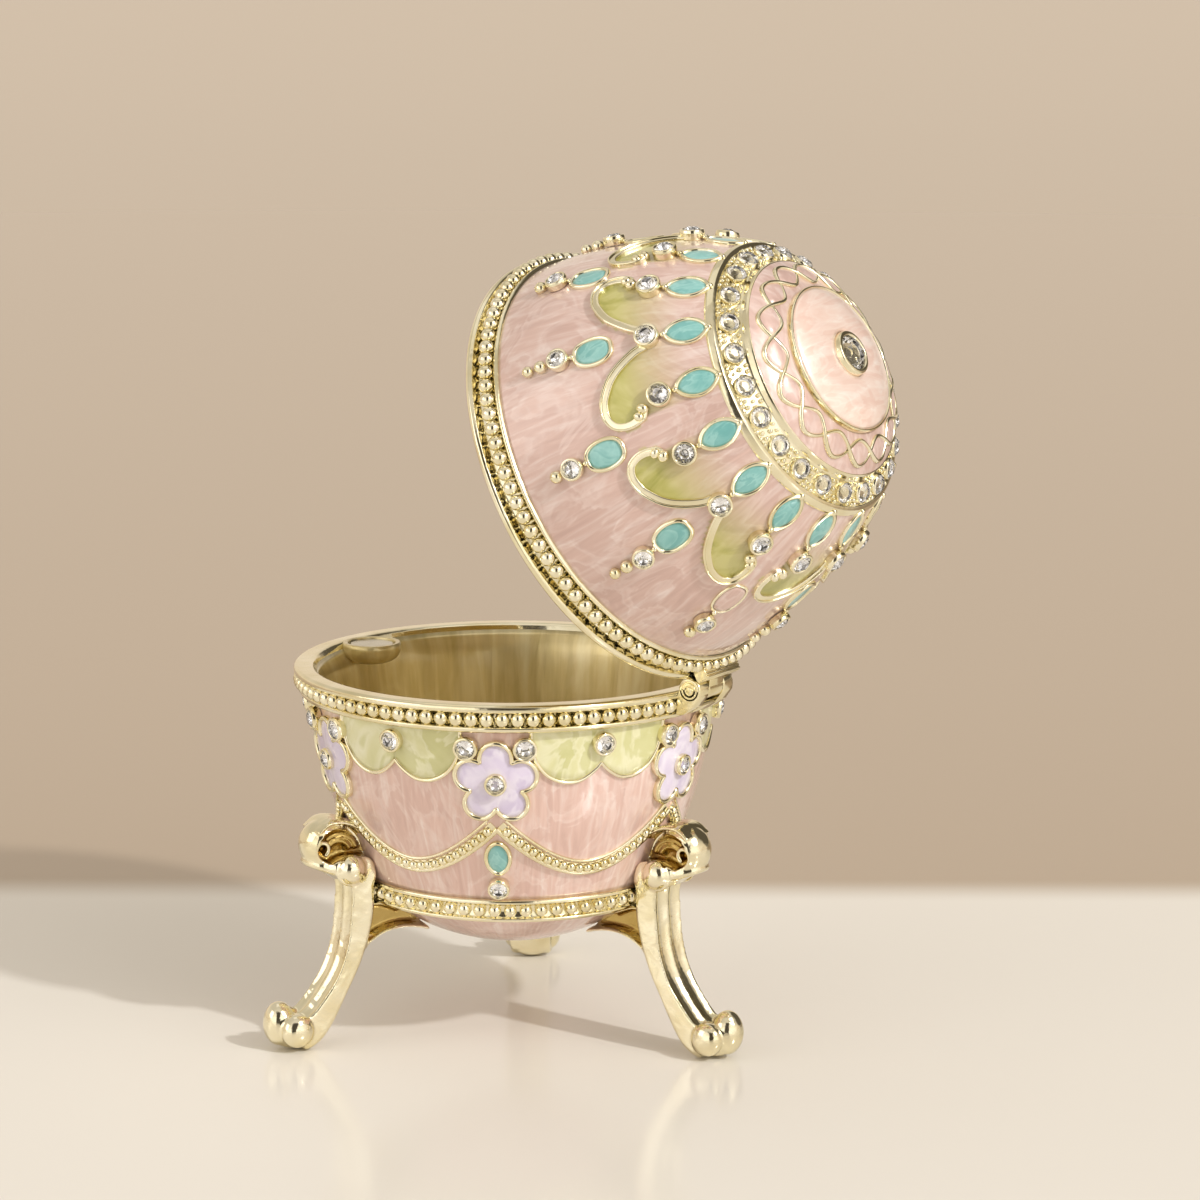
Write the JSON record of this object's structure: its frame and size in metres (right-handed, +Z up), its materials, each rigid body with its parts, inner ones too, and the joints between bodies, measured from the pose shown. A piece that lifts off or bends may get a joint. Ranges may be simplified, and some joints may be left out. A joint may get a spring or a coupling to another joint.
{
  "type": "egg trinket box",
  "caption": "Egg-shaped jewelled trinket box on scrolled legs, with a domed lid that hinges open, magnets at its rims and enamel framed in gold.",
  "frame": {"origin": "middle of the open box's footprint, on the surface it stands on", "axes": "+Z up; +Y towards the hinge, so the lid opens over +Y and is lifted at -Y; +X to the right seen from -Y"},
  "size_m": [0.0642, 0.0818, 0.106],
  "materials": {
    "enamel": "glossy pearl enamel over cast metal, with raised gilt lines and beads",
    "gilt": "polished pale gold plating on cast metal",
    "crystal": "clear, faceted and foiled behind",
    "magnet": "plated, satin"
  },
  "bodies": {
    "base": {"bowl": "enamel", "leg_back": "gilt", "leg_left": "gilt", "leg_right": "gilt", "hinge_leaf_bowl": "gilt", "hinge_pin": "gilt", "magnet_bowl": "magnet", "crystal_flower_1": "crystal", "crystal_flower_2": "crystal", "crystal_flower_3": "crystal", "crystal_flower_4": "crystal", "crystal_flower_5": "crystal", "crystal_flower_6": "crystal", "crystal_scallop_1": "crystal", "crystal_scallop_2": "crystal", "crystal_scallop_3": "crystal", "crystal_scallop_4": "crystal", "crystal_scallop_5": "crystal", "crystal_scallop_6": "crystal", "crystal_drop_1": "crystal", "crystal_drop_2": "crystal", "crystal_drop_3": "crystal"},
    "lid": {"lid": "enamel", "hinge_leaf_lid": "gilt", "magnet_lid": "magnet", "crystal_crown_01": "crystal", "crystal_crown_02": "crystal", "crystal_crown_03": "crystal", "crystal_crown_04": "crystal", "crystal_crown_05": "crystal", "crystal_crown_06": "crystal", "crystal_crown_07": "crystal", "crystal_crown_08": "crystal", "crystal_crown_09": "crystal", "crystal_crown_10": "crystal", "crystal_crown_11": "crystal", "crystal_crown_12": "crystal", "crystal_crown_13": "crystal", "crystal_crown_14": "crystal", "crystal_crown_15": "crystal", "crystal_crown_16": "crystal", "crystal_crown_17": "crystal", "crystal_crown_18": "crystal", "crystal_crown_19": "crystal", "crystal_crown_20": "crystal", "crystal_crown_21": "crystal", "crystal_crown_22": "crystal", "crystal_crown_23": "crystal", "crystal_crown_24": "crystal", "crystal_top": "crystal"}
  },
  "joints": [
    {"name": "lid_hinge", "type": "hinge", "parent": "base", "child": "lid", "pos_m": [0, 0.01727, 0.04827], "axis": [1, 0, 0], "range_deg": [0, 63.2]}
  ]
}
